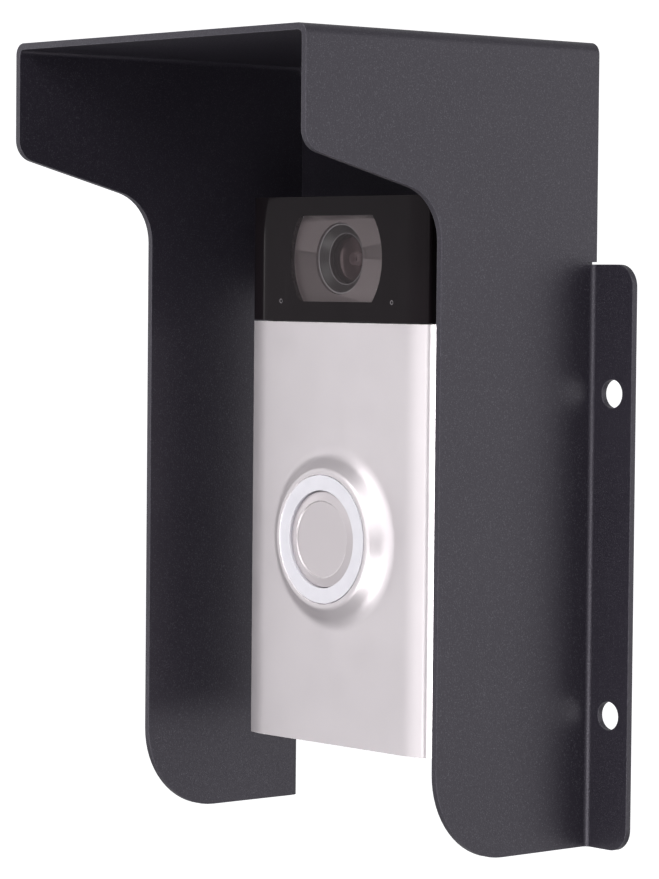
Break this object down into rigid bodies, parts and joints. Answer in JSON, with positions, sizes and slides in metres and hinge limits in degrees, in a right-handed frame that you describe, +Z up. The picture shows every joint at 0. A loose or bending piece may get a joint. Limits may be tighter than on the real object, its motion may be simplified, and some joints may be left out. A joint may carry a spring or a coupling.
{
  "type": "video doorbell",
  "caption": "Battery video doorbell with camera and lit push button on a wall bracket, under a folded steel rain hood with wall flanges.",
  "frame": {"origin": "on the wall, at the middle of the doorbell's width and height, where the wall bracket's back face touches the wall", "axes": "+Y into the wall, so the doorbell faces -Y; +Z up; +X to the right seen from the front"},
  "size_m": [0.1286, 0.0864, 0.1812],
  "materials": {
    "antenna_film": "copper on film",
    "battery_wrap": "shrink wrap",
    "bracket_plastic": "matt moulded",
    "brass": "plain",
    "chip": "moulded",
    "circuit_board": "solder resist",
    "filter_glass": "coated",
    "foam": "foam",
    "gloss_cover": "gloss",
    "housing_plastic": "matt moulded",
    "lamp": "clear moulded",
    "lead_insulation": "insulation",
    "lens_bezel": "satin",
    "lens_glass": "coated glass",
    "lens_plate": "satin, printed behind the window",
    "light_ring": "translucent white",
    "optics_black": "matt",
    "plug_plastic": "moulded",
    "powder_coated_steel": "fine matt powder coat",
    "ribbon_film": "polyimide film",
    "satin_nickel": "satin nickel",
    "seal_rubber": "soft",
    "setup_orange": "moulded",
    "steel_mesh": "woven",
    "steel_screw": "zinc plated",
    "switch_plastic": "moulded",
    "tin_plate": "tin plate",
    "window_glass": "clear, slightly smoked"
  },
  "bodies": {
    "wall_mount": {"hood": "powder_coated_steel", "wall_bracket": "bracket_plastic"},
    "doorbell": {"rear_housing": "housing_plastic", "front_frame": "housing_plastic", "camera_cover": "gloss_cover", "camera_window": "window_glass", "lens_plate": "lens_plate", "lens_bezel": "lens_bezel", "front_lens": "lens_glass", "lens_barrel": "optics_black", "aperture_disc": "optics_black", "middle_lens": "lens_glass", "rear_lens": "lens_glass", "camera_holder": "optics_black", "infrared_filter": "filter_glass", "image_sensor": "chip", "camera_board": "circuit_board", "infrared_lamps": "lamp", "port_meshes": "steel_mesh", "microphones": "steel_mesh", "light_ring": "light_ring", "ring_board": "circuit_board", "ring_lamps": "lamp", "button_seal": "seal_rubber", "button_switch": "switch_plastic", "main_board": "circuit_board", "shield_can": "tin_plate", "processor": "chip", "battery_pack": "battery_wrap", "battery_foam": "foam", "battery_plug": "plug_plastic", "battery_leads": "lead_insulation", "speaker": "switch_plastic", "speaker_gasket": "foam", "antenna": "antenna_film", "camera_ribbon": "ribbon_film", "housing_gasket": "seal_rubber", "rear_board": "circuit_board", "charging_port": "tin_plate", "setup_switch": "switch_plastic", "terminal_plates": "brass", "terminal_screws": "steel_screw", "housing_screws": "steel_screw", "security_insert": "brass"},
    "front_cover": {"faceplate": "satin_nickel"},
    "button": {"button_cap": "satin_nickel", "switch_plunger": "plug_plastic"},
    "setup": {"setup_button": "setup_orange"},
    "lock": {"security_screw": "steel_screw"}
  },
  "joints": [
    {"name": "lift_off", "type": "slide", "parent": "wall_mount", "child": "doorbell", "axis": [0, 0, 1], "range_m": [0, 0.008]},
    {"name": "faceplate_pull", "type": "slide", "parent": "doorbell", "child": "front_cover", "axis": [0, -1, 0], "range_m": [0, 0.025]},
    {"name": "button_press", "type": "slide", "parent": "doorbell", "child": "button", "axis": [0, 1, 0], "range_m": [0, 0.0008], "stiffness_N_per_m": 1500, "springref_m": -0.0003},
    {"name": "setup_press", "type": "slide", "parent": "doorbell", "child": "setup", "axis": [0, -1, 0], "range_m": [0, 0.0004], "stiffness_N_per_m": 1500, "springref_m": -0.0003},
    {"name": "security_screw_out", "type": "slide", "parent": "wall_mount", "child": "lock", "axis": [0, 0, -1], "range_m": [0, 0.01]}
  ]
}
